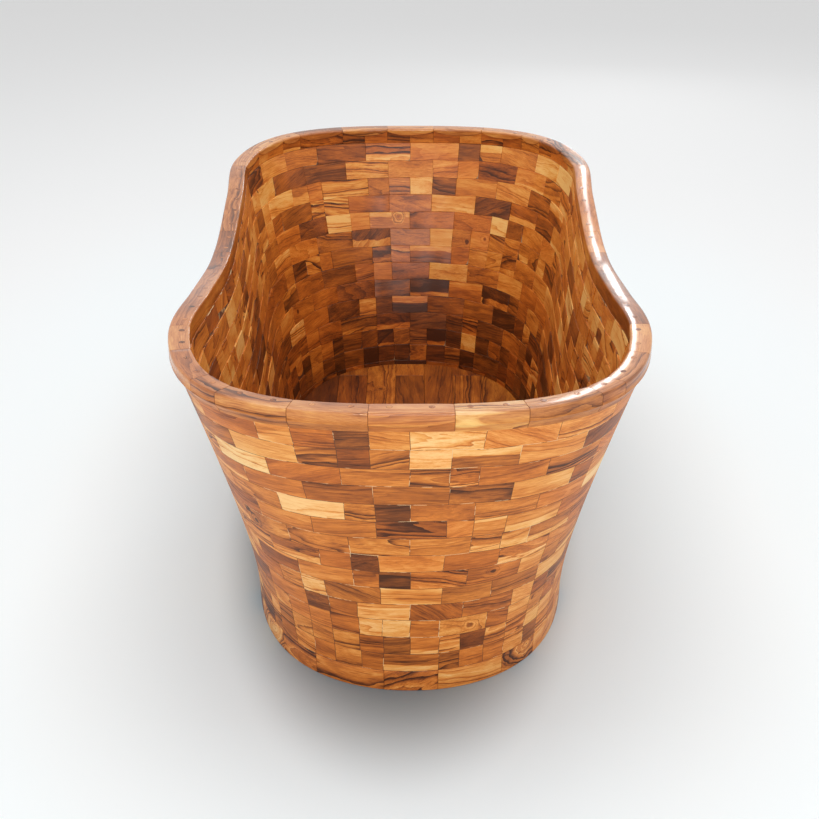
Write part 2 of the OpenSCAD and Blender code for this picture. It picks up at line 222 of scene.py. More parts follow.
class Pieces:
    """Closed shells gathered into one mesh, with the marks that their materials read."""

    def __init__(self):
        self.points, self.faces, self.marks, self.count = [], [], {}, 0

    def add(self, points, faces, inside=0.0, edge=0.0, **marks):
        """Adds a shell; inside is 1 at the points that face the room of the tub, and edge at
        those on an eased edge."""
        points = np.asarray(points, float).reshape(-1, 3)
        inside, edge = (np.broadcast_to(np.asarray(v, float), len(points)) for v in (inside, edge))
        self.points.append(points)
        self.faces += [[self.count + int(i) for i in face] for face in faces]
        # Painted shade inside the tub: full up to one height, and fading out over the next
        deep = np.clip(1 - (points[:, 2] - SHADE_FULL_Z) / SHADE_FADE_H, 0, 1)
        marks["place"] = np.stack([inside, inside * deep, edge], -1)
        for name, values in marks.items():
            values = np.broadcast_to(np.asarray(values, float), (len(points), 3))
            self.marks.setdefault(name, []).append(values)
        self.count += len(points)

    def add_slab(self, outer, inner, eased=0.0, in_room=1, **marks):
        """Adds a slab between two grids of points. eased is how far each point is drawn in, and
        in_room is 1 where the inner grid takes the painted light and tint of the tub's inside."""
        shape = outer.shape[:2]
        edge = np.broadcast_to(np.minimum(eased / EASED, 1), shape)
        self.add(np.concatenate([outer.reshape(-1, 3), inner.reshape(-1, 3)]), slab_faces(*shape),
                 inside=np.repeat([0, in_room], edge.size), edge=np.tile(edge.ravel(), 2), **marks)

    def mesh(self, name):
        """Makes one piece of all the shells."""
        data = bpy.data.meshes.new(name)
        data.from_pydata(np.concatenate(self.points).tolist(), [], self.faces)
        for mark, values in self.marks.items():
            layer = data.attributes.new(mark, "FLOAT_VECTOR", "POINT")
            layer.data.foreach_set("vector", np.concatenate(values).astype(np.float32).ravel())
        data.polygons.foreach_set("use_smooth", [True] * len(data.polygons))
        data.set_sharp_from_angle(angle=SHARP_FROM)
        data.update()
        return add_object(name, data)


def slab_faces(rows, columns):
    """Faces of a closed slab between two grids of points, the first one outside."""
    faces = []

    def at(side, r, c):
        return (side * rows + r) * columns + c

    def close(start, end):
        faces.append([at(0, *start), at(0, *end), at(1, *end), at(1, *start)])

    for r in range(rows - 1):
        for c in range(columns - 1):
            quad = [(r, c), (r + 1, c), (r + 1, c + 1), (r, c + 1)]
            faces.append([at(0, *p) for p in quad])
            faces.append([at(1, *p) for p in reversed(quad)])
    for c in range(columns - 1):
        close((0, c), (0, c + 1))
        close((rows - 1, c + 1), (rows - 1, c))
    for r in range(rows - 1):
        close((r + 1, 0), (r, 0))
        close((r, columns - 1), (r + 1, columns - 1))
    return faces


def sweep_faces(rings, points):
    """Faces of a closed bar swept through rings of points, capped at both ends."""
    faces = [list(range(points)), [(rings - 1) * points + j for j in reversed(range(points))]]
    for r in range(rings - 1):
        for j in range(points):
            a, b = r * points + j, r * points + (j + 1) % points
            faces.append([a, a + points, b + points, b])
    return faces


def eased_stops(start, end, pitch, edge):
    """Stops from start to end, near a pitch apart, with one a small edge inside each end."""
    inner = np.linspace(start + edge, end - edge, max(2, round((end - start) / pitch) + 1))
    return np.r_[start, inner, end]


def glued_steps(first, last, length, pitch):
    """Stops for a piece between two upright joints, where a step has some length."""
    gap = GLUE / 2 / length
    return eased_stops(first + gap, last - gap, pitch / length, EASED / length)


def eased_border(shape):
    """How far the points of a grid are drawn in: those on its border, and no others."""
    edge = np.zeros(shape)
    edge[[0, -1], :] = edge[:, [0, -1]] = EASED
    return edge


def both_faces(along, up, thick):
    """Places along a piece, up it and into it, for the points of its outer and its inner face."""
    local = np.stack([along, up, 0 * along], -1).reshape(-1, 3)
    return np.concatenate([local, local + [0, 0, thick]])


# Timber

# Shares of the pieces, with the lowest and highest tone of each share
WALL_TONES = [(0.14, 0.17, 0.33), (0.62, 0.38, 0.58), (0.18, 0.58, 0.74), (0.06, 0.80, 0.95)]
LINING_TONES = [(0.20, 0.28, 0.36), (0.70, 0.38, 0.50), (0.10, 0.54, 0.60)]
RIM_TONES = [(0.10, 0.32, 0.40), (0.55, 0.44, 0.58), (0.35, 0.58, 0.74)]
RIM_END_TONES = [(0.15, 0.38, 0.46), (0.50, 0.54, 0.64), (0.35, 0.66, 0.80)]
FOOT_TONES = [(0.40, 0.24, 0.38), (0.45, 0.42, 0.54), (0.15, 0.60, 0.72)]
FLOOR_TONES = [(0.28, 0.15, 0.28), (0.47, 0.34, 0.46), (0.25, 0.52, 0.68)]
PLUG_TONES = [(0.25, 0.22, 0.34), (0.75, 0.42, 0.62)]

# Shares of the pieces that are sawn askew, turned upside down, with sapwood or with a knot
ASKEW_SHARE, ASKEW_LEAN = 0.12, 0.3
TURNED_SHARE, SAP_SHARE = 0.35, 0.14
KNOT_SHARE, BOARD_KNOT_SHARE = 0.04, 0.10

# Marks of a piece with no sapwood and of one with no knot
NO_STRIPE, NO_KNOT = -1.0, (1.0, 1.0, 0.0)

# Strength of figure, and what is added to a tone for the side walls, a painted light that makes them
# paler, and for a plug's dirty edge
FAINT, BOLDER, RING_BOLDER = 0.35, 1.6, 0.5
RIM_END_FIGURE, RIM_SIDE_FIGURE = 1.2, 0.5
PAINTED_SIDE_LIGHT, PLUG_DIRT = 0.08, -0.32

# How much of the room's painted light and tint the rim's lip takes, and how dark its lower edge is: a
# glue line with painted shadow under the lip
LIP_IN_ROOM, LIP_GLUE_AND_SHADE = 0.3, 1.5

# Seeds of the pieces' logs and tones, counted on by course, part of the rim or board
WALL_SEED, FOOT_SEED, PLUG_SEED, FLOOR_SEED = 100, 31, 57, 200
RIM_SEED, LINING_SEED = 40, 140


class Timber:
    """Cuts every piece from its own place in a log, and picks its tone."""

    def __init__(self, seed, tones):
        self.random = np.random.default_rng(seed)
        self.tones = tones

    def tone(self):
        """Tone, warmth and strength of figure of one piece."""
        shares = np.cumsum([share for share, _, _ in self.tones])
        pick = int(np.searchsorted(shares / shares[-1], self.random.random()))
        low, high = self.tones[min(pick, len(self.tones) - 1)][1:]
        figure = FAINT + BOLDER * self.random.random() ** 3
        return np.array([self.random.uniform(low, high), self.random.random(), figure])

    def grain(self, local, wander=0.07, pith=(0.006, 0.07), slant=0.08):
        """Places in the log for points given along the piece, up it and into it."""
        tilt = self.random.normal(0, wander)
        tilt += (self.random.random() < ASKEW_SHARE) * self.random.normal(0, ASKEW_LEAN)
        slope = self.random.normal(0, slant)
        along, up, deep = local[:, 0], local[:, 1], local[:, 2]
        turned = along * math.cos(tilt) + up * math.sin(tilt)
        up = up * math.cos(tilt) - along * math.sin(tilt)
        deep = deep + turned * math.sin(slope)
        reach = self.random.uniform(*pith)
        angle = self.random.uniform(0, 2 * math.pi)
        stretch = self.random.uniform(0.75, 1.3)
        offset = self.random.uniform(1, 9)
        return np.stack([turned + offset, (up + reach * math.cos(angle)) * stretch,
                         (deep + reach * math.sin(angle)) * stretch], -1)

    def knot(self, local, share, span):
        """Distances from a knot in the piece's face, or a place far away where there is none."""
        if self.random.random() > share:
            return np.array(NO_KNOT)
        centre = self.random.uniform(-0.5, 0.5, 2) * np.array(span)
        return np.stack([local[:, 0] - centre[0], local[:, 1] - centre[1],
                         np.zeros(len(local))], -1)

    def stripe(self):
        """Width of a pale sapwood edge, as a share of the piece's height."""
        return self.random.uniform(0.15, 0.45) if self.random.random() < SAP_SHARE else NO_STRIPE


def face_mark(height, stripe=NO_STRIPE):
    """The mark for a height on the piece's face, from 0 to 1, and for its sapwood."""
    return np.stack([0 * height, height, np.full(height.shape, stripe)], -1)


# Pieces

def hollow(points, share, inward):
    """How far the points of a curved face stand behind the straight line between its ends."""
    chord = points[:, :1] * (1 - share[..., None]) + points[:, -1:] * share[..., None]
    return np.maximum(0, ((chord - points) * inward).sum(-1))


def joint(course, step, rise):
    """Where an upright joint stands: each was cut a little off its step, and off upright."""
    place = step % STEPS
    low = chance(LOW_END_ROW + course, 2 * place + 1)
    high = chance(HIGH_END_ROW + course, 2 * place + 1)
    off = low + (high - low) * rise
    return step + JOINT_STRAY * (2 * off - 1) / mean_step(course)


def waver(level, step):
    """How far a level joint strays up or down at a step, as a share of a course."""
    if level in (1, LEVELS):
        return 0 * step
    at = np.arange(STEPS + 1)
    strays = WAVER * (2 * chance(WAVER_ROW + level, at % STEPS) - 1)
    return np.interp(np.mod(step, STEPS), at, strays)


def block_push(timber, course, inside, inward, share, rise):
    """How far a block's inner face stands into the room: it is flat where the wall is hollow, and
    was glued in a little proud and a little askew."""
    flat = STEP_DEPTH * timber.random.uniform(0.3, 1.0) if course < COURSES else EASED
    lifts = LIFT * timber.random.uniform(0, 1, 3)
    return (np.minimum(hollow(inside, share, inward), flat) * FLATTENED
            + lifts[0] * (1 - share) + lifts[1] * share + lifts[2] * (rise - 0.5))


def wall_block(pieces, timber, course, first, last):
    """A block of the wall between two joints of its course."""
    length, middle = mean_step(course), (first + last) / 2
    reach = (last - first) * length
    height = (surface(course + 1, middle) - surface(course, middle))[2]
    gap = GLUE / 2 / height
    rise, share = np.meshgrid(eased_stops(gap, 1 - gap, COURSE_PITCH, EASED / height),
                              eased_stops(0, 1, BLOCK_PITCH / reach, EASED / reach), indexing="ij")
    start = joint(course, first, rise) + GLUE / 2 / length
    end = joint(course, last, rise) - GLUE / 2 / length
    step = start + (end - start) * share
    level = course + rise + waver(course, step) * (1 - rise) + waver(course + 1, step) * rise
    edge = eased_border(level.shape)
    inside = surface(level, step, WALL_T)
    inward = surface(level, step, WALL_T + 1) - inside
    push = block_push(timber, course, inside, inward, share, rise) - edge
    local = both_faces((step - middle) * length, (rise - 0.5) * height, WALL_T)
    turned = timber.random.random() < TURNED_SHARE
    face_height = (local[:, 1] / height + 0.5) * (-1 if turned else 1) + turned
    # Blocks that face sideways get a paler tone: painted light on the side walls
    pieces.add_slab(surface(level, step, edge), inside + inward * push[..., None], edge,
                    face=face_mark(face_height, timber.stripe()), wood=timber.grain(local),
                    tone=timber.tone() + [PAINTED_SIDE_LIGHT * np.abs(inward[..., 0]).mean(), 0, 0],
                    knot=timber.knot(local, KNOT_SHARE, (length, height * 0.5)))


def wall_course(course):
    pieces, timber = Pieces(), Timber(WALL_SEED + course, WALL_TONES)
    cuts = course_cuts(course)
    for first, last in zip(cuts, cuts[1:]):
        wall_block(pieces, timber, course, first, last)
    return pieces.mesh(f"blocks_{course:02d}")


def foot_ring():
    """The row of large segments under the wall, eased more where they stand on the ground."""
    pieces, timber = Pieces(), Timber(FOOT_SEED, FOOT_TONES)
    cuts = even_cuts(0, STEPS, RING_PIECE_L, 1)
    length = mean_step(1)
    rise = eased_stops(0, 1 - GLUE / 2 / RING_H, RING_PITCH, 2 * EASED / RING_H)
    for first, last in zip(cuts, cuts[1:]):
        level, step = np.meshgrid(rise, glued_steps(first, last, length, BLOCK_PITCH), indexing="ij")
        edge = eased_border(level.shape)
        edge[0, :] = 2 * EASED
        local = both_faces((step - (first + last) / 2) * length, (level - 0.5) * RING_H, RING_W)
        pieces.add_slab(surface(level, step, edge), surface(level, step, RING_W - edge), edge,
                        in_room=0, face=face_mark(local[:, 1] / RING_H + 0.5),
                        wood=timber.grain(local, wander=0.16, pith=(0.004, 0.03), slant=0.35),
                        tone=timber.tone() + [0, 0, RING_BOLDER], knot=NO_KNOT)
    return pieces.mesh("foot_ring_pieces")


def quarter_arc(x, y, radius, start, count):
    """Points of a quarter circle round a centre, clockwise from a start angle in degrees."""
    angles = np.radians(np.linspace(start, start - 90, count))
    return [(x + radius * math.cos(a), y + radius * math.sin(a)) for a in angles]


def rim_section(low, rebate, lip_out):
    """The rim's outline in section: how far out from the wall's outside, and how high. Its inner
    face ends at a height, and under it a rebate of some width takes the lining."""
    inner, nose, top = -WALL_T - RIM_IN - lip_out, RIM_OVER - EASED / 2, RIM_H - EASED / 2
    lip, foot = np.array([nose, RIM_COVE]), np.array([RIM_OVER * COVE_FOOT, 0])
    cove = [tuple((1 - t) ** 2 * lip + 2 * t * (1 - t) * (COVE_PULL * lip) + t ** 2 * foot)
            for t in np.linspace(0, 1, COVE_POINTS)]
    inner_edge = quarter_arc(inner + RIM_EDGE, top - RIM_EDGE, RIM_EDGE, 180, EDGE_POINTS)
    outer_edge = quarter_arc(nose - NOSE_ROUND, top - NOSE_ROUND, NOSE_ROUND, 90, NOSE_POINTS)
    return np.array([(inner, low), (inner, low + LIP_EDGE), (inner, top - RIM_EDGE)]
                    + inner_edge + outer_edge + cove
                    + [(rebate - WALL_T, 0.0), (rebate - WALL_T, low)])


def rim_piece(pieces, timber, first, last, scallop):
    """A rim piece; at the ends its inner edge hangs in a shallow arc over the lining."""
    length, middle = mean_step(LEVELS), (first + last) / 2
    steps = glued_steps(first, last, length, RIM_PITCH)
    rings, local = [], []
    for j, step in enumerate(steps):
        if scallop:
            share = 2 * (step - middle) / (last - first)
            drop = LIP + scallop * (1 - abs(share) ** SCALLOP_POWER)
            outline = rim_section(RIM_H - drop, LINING_T + GLUE, LIP_OUT * (1 - share ** LIP_POWER))
        else:
            outline = rim_section(GLUE, GLUE, 0.0)
        if j in (0, len(steps) - 1):
            away = outline.mean(0) - outline
            outline += away / np.linalg.norm(away, axis=1, keepdims=True) * EASED
        out, up = outline[:, 0], outline[:, 1]
        base = surface(LEVELS, np.full(len(outline), step), -out)
        rings.append(base + np.stack([0 * up, 0 * up, up + GLUE / 2], -1))
        local.append(np.stack([np.full(len(outline), (step - middle) * length), up, out], -1))
    local = np.concatenate(local)
    place = np.arange(len(outline))
    inner_points = 3
    on_inner_face = np.tile(place < inner_points, len(steps))
    at_end = np.repeat(np.isin(np.arange(len(steps)), (0, len(steps) - 1)), len(outline))
    under_lip = np.tile(np.isin(place, (0, len(outline) - 1)), len(steps))
    figure = RIM_END_FIGURE if scallop else RIM_SIDE_FIGURE
    # The rim's inner face takes the room's painted tint and light; under the lip of the end pieces a
    # dark glue line also stands for painted shadow
    pieces.add(np.concatenate(rings), sweep_faces(len(steps), len(outline)),
               inside=on_inner_face * (LIP_IN_ROOM if scallop else 1.0),
               edge=np.maximum(at_end, under_lip * LIP_GLUE_AND_SHADE), face=face_mark(local[:, 1] / RIM_H),
               wood=timber.grain(local, wander=0.04, pith=(0.01, 0.09), slant=0.03),
               tone=timber.tone() * [1, 1, figure],
               knot=timber.knot(local, KNOT_SHARE, (0.05, 0.02)))


def lining_block(pieces, timber, first, last):
    """A thin block on the rim's inner side, between the top course and the rim's lip."""
    length = mean_step(LEVELS)
    z, step = np.meshgrid(eased_stops(GLUE / 2, RIM_H - LIP / 2, LINING_PITCH, EASED),
                          glued_steps(first, last, length, BLOCK_PITCH), indexing="ij")
    edge = eased_border(z.shape)
    rise = np.stack([0 * z, 0 * z, z], -1)
    local = both_faces((step - (first + last) / 2) * length, z, LINING_T)
    pieces.add_slab(surface(LEVELS, step, WALL_T - LINING_T) + rise,
                    surface(LEVELS, step, WALL_T - edge) + rise, edge,
                    face=face_mark(local[:, 1] / RIM_H, timber.stripe()),
                    wood=timber.grain(local), tone=timber.tone(), knot=NO_KNOT)


# First and last step of each part of the rim
RIM_PARTS = {
    "rim_near_end": (HALF_STEPS - END_STEPS, HALF_STEPS + END_STEPS),
    "rim_left_side": (HALF_STEPS + END_STEPS, STEPS - END_STEPS),
    "rim_far_end": (-END_STEPS, END_STEPS),
    "rim_right_side": (END_STEPS, HALF_STEPS - END_STEPS),
}


def rim_part(node, seed):
    """The rim pieces of an end, or of a side with its two long pieces and the short ones between."""
    first, last = RIM_PARTS[node]
    side = node.endswith("side")
    long_steps = round(RIM_LONG_L / mean_step(LEVELS)) if side else 0
    cuts = even_cuts(first + long_steps, last - long_steps, RIM_PIECE_L, LEVELS)
    if side:
        cuts = [first] + cuts + [last]
    pieces, timber = Pieces(), Timber(seed, RIM_TONES if side else RIM_END_TONES)
    for a, b in zip(cuts, cuts[1:]):
        rim_piece(pieces, timber, a, b, 0 if side else SCALLOP * timber.random.uniform(0.8, 1.1))
    return pieces.mesh(node.replace("rim_", "coping_"))


def rim_lining(node, seed):
    """The row of blocks that lines the rim inside at an end of the tub."""
    first, last = RIM_PARTS[node]
    cuts = sorted(cut - back for cut in course_cuts(LEVELS)[:-1] for back in (0, STEPS)
                  if first < cut - back < last)
    pieces, timber = Pieces(), Timber(seed, LINING_TONES)
    for a, b in zip([first] + cuts, cuts + [last]):
        lining_block(pieces, timber, a, b)
    return pieces.mesh(node.replace("rim_", "lining_"))


# Rings of a rim plug from its foot to its top: share of its radius, height and share of dirt
PLUG_RINGS = [(1.0, -PLUG_DEEP, 0), (1.07, -0.0001, 1), (1.07, 0.00005, 1), (1.0, 0.00006, 1),
              (0.95, 0.0001, 0), (0.6, 0.0002, 0), (0.2, 0.0002, 0)]


def rim_plugs():
    """Slightly domed plugs, let into the rim's top over its screws, with dirt round their edges."""
    pieces, timber = Pieces(), Timber(PLUG_SEED, PLUG_TONES)
    turns = np.linspace(0, 2 * math.pi, PLUG_POINTS, endpoint=False)[:, None]
    dirt = np.repeat([share for _, _, share in PLUG_RINGS], len(turns))[:, None]
    for k in range(STEPS):
        middle = surface(LEVELS, k + 0.5, WALL_T / 2)
        ahead = surface(LEVELS, k + 0.52, WALL_T / 2) - middle
        ahead /= np.linalg.norm(ahead)
        across = np.cross(ahead, [0, 0, 1])
        across /= np.linalg.norm(across)
        up = np.cross(across, ahead)
        top = middle + [0, 0, RIM_H - EASED / 2 + GLUE / 2]
        disc = np.cos(turns) * ahead + np.sin(turns) * across
        points = np.concatenate([top + disc * PLUG_R * r + up * z for r, z, _ in PLUG_RINGS])
        local = np.concatenate([np.c_[0 * turns + z, np.cos(turns) * PLUG_R * r,
                                      np.sin(turns) * PLUG_R * r] for r, z, _ in PLUG_RINGS])
        pieces.add(points, sweep_faces(len(PLUG_RINGS), len(turns)),
                   wood=timber.grain(local, wander=0.02, pith=(0.02, 0.06)),
                   face=[0, 1, NO_STRIPE],
                   tone=timber.tone() + dirt * [PLUG_DIRT, 0, 0], knot=NO_KNOT)
    return pieces.mesh("rim_plug_set")


def room_outline():
    """Points of the inner wall's outline where the floor lies, for one side of the tub."""
    steps = np.linspace(0, HALF_STEPS, ROOM_SAMPLES)
    low = surface(1, steps, WALL_T + GLUE)
    high = surface(2, steps, WALL_T + GLUE)
    share = ((FLOOR_Z + FLOOR_T - low[:, 2]) / (high[:, 2] - low[:, 2]))[:, None]
    line = low + share * (high - low)
    return line[:, 0], line[:, 1]


ROOM_X, ROOM_Y = (values[:ROOM_SAMPLES // 2] for values in room_outline())


def room_y(x):
    """Half the room's length at a distance from its middle line."""
    return np.interp(np.abs(x), ROOM_X, ROOM_Y)


def room_x(y):
    """Half the room's width at a distance along it."""
    return np.interp(np.abs(y), ROOM_Y[::-1], ROOM_X[::-1])


def floor_piece(pieces, timber, left, right, start, end):
    """One length of a floor board, cut to the wall where it meets it."""
    share, y = np.meshgrid(eased_stops(0, 1, ACROSS_PITCH, EASED / BOARD_W),
                           eased_stops(start, end, BOARD_PITCH, EASED), indexing="ij")
    if left is None or right is None:
        inner = right if left is None else left
        sign = -1 if left is None else 1
        limit = room_y(inner)
        y = np.clip(y, -limit, limit)
        outer = sign * np.maximum(room_x(y), abs(inner))
        x = outer + (inner - outer) * (share if left is None else 1 - share)
    else:
        x = left + (right - left) * share
        y = np.clip(y, -room_y(x), room_y(x))
    edge = eased_border(x.shape)
    under = np.stack([x, y, np.full(x.shape, FLOOR_Z)], -1)
    top = np.stack([x, y, FLOOR_Z + FLOOR_T - edge], -1)
    local = both_faces(y - (start + end) / 2, x - x.mean(), -FLOOR_T) + [0, 0, FLOOR_T]
    pieces.add_slab(under, top, edge, in_room=0, face=[0, 1, NO_STRIPE],
                    wood=timber.grain(local, wander=0.05, pith=(0.01, 0.06)), tone=timber.tone(),
                    knot=timber.knot(local, BOARD_KNOT_SHARE, (0.1, 0.03)))


def floor_board(number):
    """A floor board of several lengths; the outermost boards have the wall for one side."""
    place = number - SIDE_BOARDS - 1
    left = None if place == -SIDE_BOARDS else (place - 0.5) * BOARD_W + GLUE / 2
    right = None if place == SIDE_BOARDS else (place + 0.5) * BOARD_W - GLUE / 2
    inner = min(abs(side) for side in (left, right) if side is not None)
    reach = float(room_y(inner if place else 0))
    shift = BOARD_L / 2 if number % 2 == 0 else 0
    count = math.ceil(reach / BOARD_L)
    stops = [j * BOARD_L + shift for j in range(-count - 1, count + 1)]
    stops = [-reach] + [s for s in stops if abs(s) < reach - BOARD_END_L] + [reach]
    pieces, timber = Pieces(), Timber(FLOOR_SEED + number, FLOOR_TONES)
    for start, end in zip(stops, stops[1:]):
        floor_piece(pieces, timber, left, right, start + GLUE / 2, end - GLUE / 2)
    return pieces.mesh(f"board_{number}")


def glue_bed():
    """The glue that shows in the joints: a core of the wall that ends just under both faces."""
    pieces = Pieces()
    level, step = np.meshgrid(np.linspace(1, LEVELS, BED_ROWS * COURSES + 1),
                              np.linspace(0, STEPS, BED_COLUMNS * STEPS + 1), indexing="ij")
    pieces.add_slab(surface(level, step, GLUE_DEPTH), surface(level, step, WALL_T - GLUE_DEPTH))
    return pieces.mesh("glue_bed")


def glue_bead():
    """The glue squeezed out in a fine, uneven line under the inner edge of the rim's sides."""
    pieces = Pieces()
    angles = np.linspace(0, 2 * math.pi, BEAD_POINTS, endpoint=False)
    for node in ("rim_right_side", "rim_left_side"):
        steps = np.linspace(*RIM_PARTS[node], BEAD_SAMPLES)
        width = BEAD_R * (0.65 + 0.45 * np.sin(steps * 2.3) * np.sin(steps * 5.1 + 1))
        rings = []
        for step, size in zip(steps, width):
            ring = surface(LEVELS, np.full(len(angles), step), WALL_T + size * np.cos(angles))
            ring[:, 2] += size * np.sin(angles) - BEAD_R
            rings.append(ring)
        pieces.add(np.concatenate(rings), sweep_faces(len(steps), len(angles)))
    return pieces.mesh("glue_bead")


# Materials

def math_operator(operation):
    """An operator of Value and its reflected form."""
    def plain(self, other):
        return self.math(operation, self, other)

    def reflected(self, other):
        return self.math(operation, other, self)

    return plain, reflected


class Value:
    """A number that varies over a surface; arithmetic on it adds Math nodes."""

    def __init__(self, finish, socket):
        self.finish, self.socket = finish, socket

    def math(self, operation, *values):
        return self.finish.node("ShaderNodeMath", {"operation": operation},
                                dict(enumerate(values)))

    __add__, __radd__ = math_operator("ADD")
    __sub__, __rsub__ = math_operator("SUBTRACT")
    __mul__, __rmul__ = math_operator("MULTIPLY")
    __truediv__, __rtruediv__ = math_operator("DIVIDE")
    __pow__, __rpow__ = math_operator("POWER")

    def fraction(self):
        return self.math("FRACT", self)

    def ramp(self, low, high, start=0.0, end=1.0):
        """Rises smoothly from start to end while this value goes from low to high."""
        return self.finish.node("ShaderNodeMapRange", {"interpolation_type": "SMOOTHSTEP"},
                                {"Value": self, "From Min": low, "From Max": high,
                                 "To Min": start, "To Max": end})


class Finish:
    """One material, or the world, while its nodes are laid."""

    def __init__(self, name="", world=None):
        self.material = world or bpy.data.materials.new(name)
        self.material.use_nodes = True
        self.tree = self.material.node_tree
        self.tree.nodes.clear()

    def node(self, kind, settings=None, sockets=None, output=0):
        """Adds a node: its settings first, then the values or links of its sockets."""
        node = self.tree.nodes.new(kind)
        for name, value in (settings or {}).items():
            if name == "stops":
                self.set_stops(node.color_ramp, value)
            else:
                setattr(node, name, value)
        for name, value in (sockets or {}).items():
            if isinstance(value, Value):
                self.tree.links.new(value.socket, node.inputs[name])
            else:
                node.inputs[name].default_value = value
        return Value(self, node.outputs[output] if node.outputs else None)

    def set_stops(self, ramp, stops):
        while len(ramp.elements) < len(stops):
            ramp.elements.new(1.0)
        for element, (place, colour) in zip(ramp.elements, stops):
            element.position, element.color = place, (*colour, 1.0)

    def attribute(self, name):
        return self.node("ShaderNodeAttribute", {"attribute_name": name}, output="Vector")

    def place(self, kind="Object"):
        """Places on the object, or directions in the world."""
        return self.node("ShaderNodeTexCoord", output=kind)

    def parts(self, vector):
        split = self.node("ShaderNodeSeparateXYZ", None, {0: vector}).socket.node
        return [Value(self, out) for out in split.outputs]

    def scaled(self, vector, scale):
        return self.node("ShaderNodeVectorMath", {"operation": "MULTIPLY"}, {0: vector, 1: scale})

    def moved(self, vector, shift):
        return self.node("ShaderNodeVectorMath", {"operation": "ADD"}, {0: vector, 1: shift})

    def length(self, vector):
        return self.node("ShaderNodeVectorMath", {"operation": "LENGTH"}, {0: vector}, "Value")

    def noise(self, vector, scale, detail=2.0, rough=0.5):
        """Noise around zero, from about -0.5 to 0.5, over a vector stretched by scale."""
        return self.node("ShaderNodeTexNoise", {"noise_dimensions": "3D"},
                         {"Vector": self.scaled(vector, scale), "Scale": 1.0, "Detail": detail,
                          "Roughness": rough}) - 0.5

    def bands(self, value, detail):
        """Noise around zero along one value."""
        return self.node("ShaderNodeTexNoise", {"noise_dimensions": "1D"},
                         {"W": value, "Scale": 1.0, "Detail": detail, "Roughness": 0.55}) - 0.5

    def mix(self, factor, first, second, blend="MIX"):
        """A mix of two colours."""
        first, second = (c if isinstance(c, Value) else (*c, 1.0) for c in (first, second))
        return self.node("ShaderNodeMix", {"data_type": "RGBA", "blend_type": blend},
                         {0: factor, 6: first, 7: second}, output=2)

    def bump(self, height, strength, distance):
        return self.node("ShaderNodeBump", None, {"Strength": strength, "Distance": distance,
                                                  "Height": height})

    def shade(self, **sockets):
        """Ends the material with one shader; a socket's name has _ for each space."""
        sockets = {name.replace("_", " "): value for name, value in sockets.items()}
        shader = self.node("ShaderNodeBsdfPrincipled", None, sockets)
        self.node("ShaderNodeOutputMaterial", None, {"Surface": shader})
        return self.material


# Colours of teak from dark heartwood to pale sapwood
TEAK = [(0.00, (0.070, 0.019, 0.004)), (0.22, (0.205, 0.055, 0.010)),
        (0.42, (0.450, 0.128, 0.019)), (0.60, (0.670, 0.222, 0.034)),
        (0.78, (0.830, 0.385, 0.096)), (1.00, (0.940, 0.610, 0.260))]
RIM_TEAK = [(0.00, (0.070, 0.022, 0.007)), (0.22, (0.180, 0.056, 0.015)),
            (0.42, (0.380, 0.128, 0.034)), (0.60, (0.580, 0.228, 0.070)),
            (0.78, (0.750, 0.380, 0.135)), (1.00, (0.880, 0.600, 0.290))]
# Darker teak for the floor boards and their bearers; its darkness is partly a painted shade at the
# bottom of the tub
DARK_AND_SHADED_TEAK = [(0.00, (0.045, 0.010, 0.002)), (0.25, (0.140, 0.032, 0.003)),
             (0.50, (0.330, 0.086, 0.008)), (0.75, (0.600, 0.200, 0.022)),
             (1.00, (0.820, 0.400, 0.090))]

# How far the figure, edges, knots, the painted light and shade inside the tub and under the rim's
# nose, and the varnish move the tone
GROWTH_TONE, LATE_TONE, VEIN_TONE = 0.55, -0.54, -0.20
FIBRE_TONE, BLOTCH_TONE, STREAK_TONE, PORE_TONE = 0.55, 0.66, -0.15, -0.10
EDGE_TONE, KNOT_TONE, PAINTED_ROOM_LIGHT, PAINTED_DEEP_SHADE, PAINTED_COVE_SHADE = -0.26, -0.4, 0.06, -0.38, -0.10
VARNISH_TONE = 0.02

# The tone that sapwood comes near to
SAP_TONE = 0.88

# Tints that colours are multiplied by: warm pieces, the tub's inside, a painted warm light as bounced
# about its room, and the rim below its top, tinted deeper so that the top shows as a painted sheen
WARM_TINT, PAINTED_ROOM_TINT, RIM_FACE_PAINTED_TINT = (1.0, 0.82, 0.70), (1.0, 0.95, 0.70), (0.98, 0.89, 0.60)

# What a point of teak is: its place in the log, the tone, warmth and strength of figure of its
# piece, its height on the face, the width of the sapwood, its distance from a knot, whether it is
# inside the tub, for the room's painted light, how deep in there, for the painted shade, and
# whether it is on an edge
Cut = namedtuple("Cut", "log tone warm strength height stripe knot inside deep edge")


def marked_cut(wood):
    """What the marks of the pieces say."""
    log = wood.attribute("wood")
    tone, warm, strength = wood.parts(wood.attribute("tone"))
    _, height, stripe = wood.parts(wood.attribute("face"))
    knot = wood.length(wood.attribute("knot"))
    inside, deep, edge = wood.parts(wood.attribute("place"))
    return Cut(log, tone, warm, strength, height, stripe, knot, inside, deep, edge)


def plain_cut(wood):
    """Timber that keeps its solid has no marks: it is straight from the log, with no knot."""
    place = wood.place()
    warm = wood.noise(place, (3, 3, 3)) + 0.5
    return Cut(place, 0.42, warm, 0.9, 1.0, NO_STRIPE, 1.0, 0.0, 0.0, 0.0)


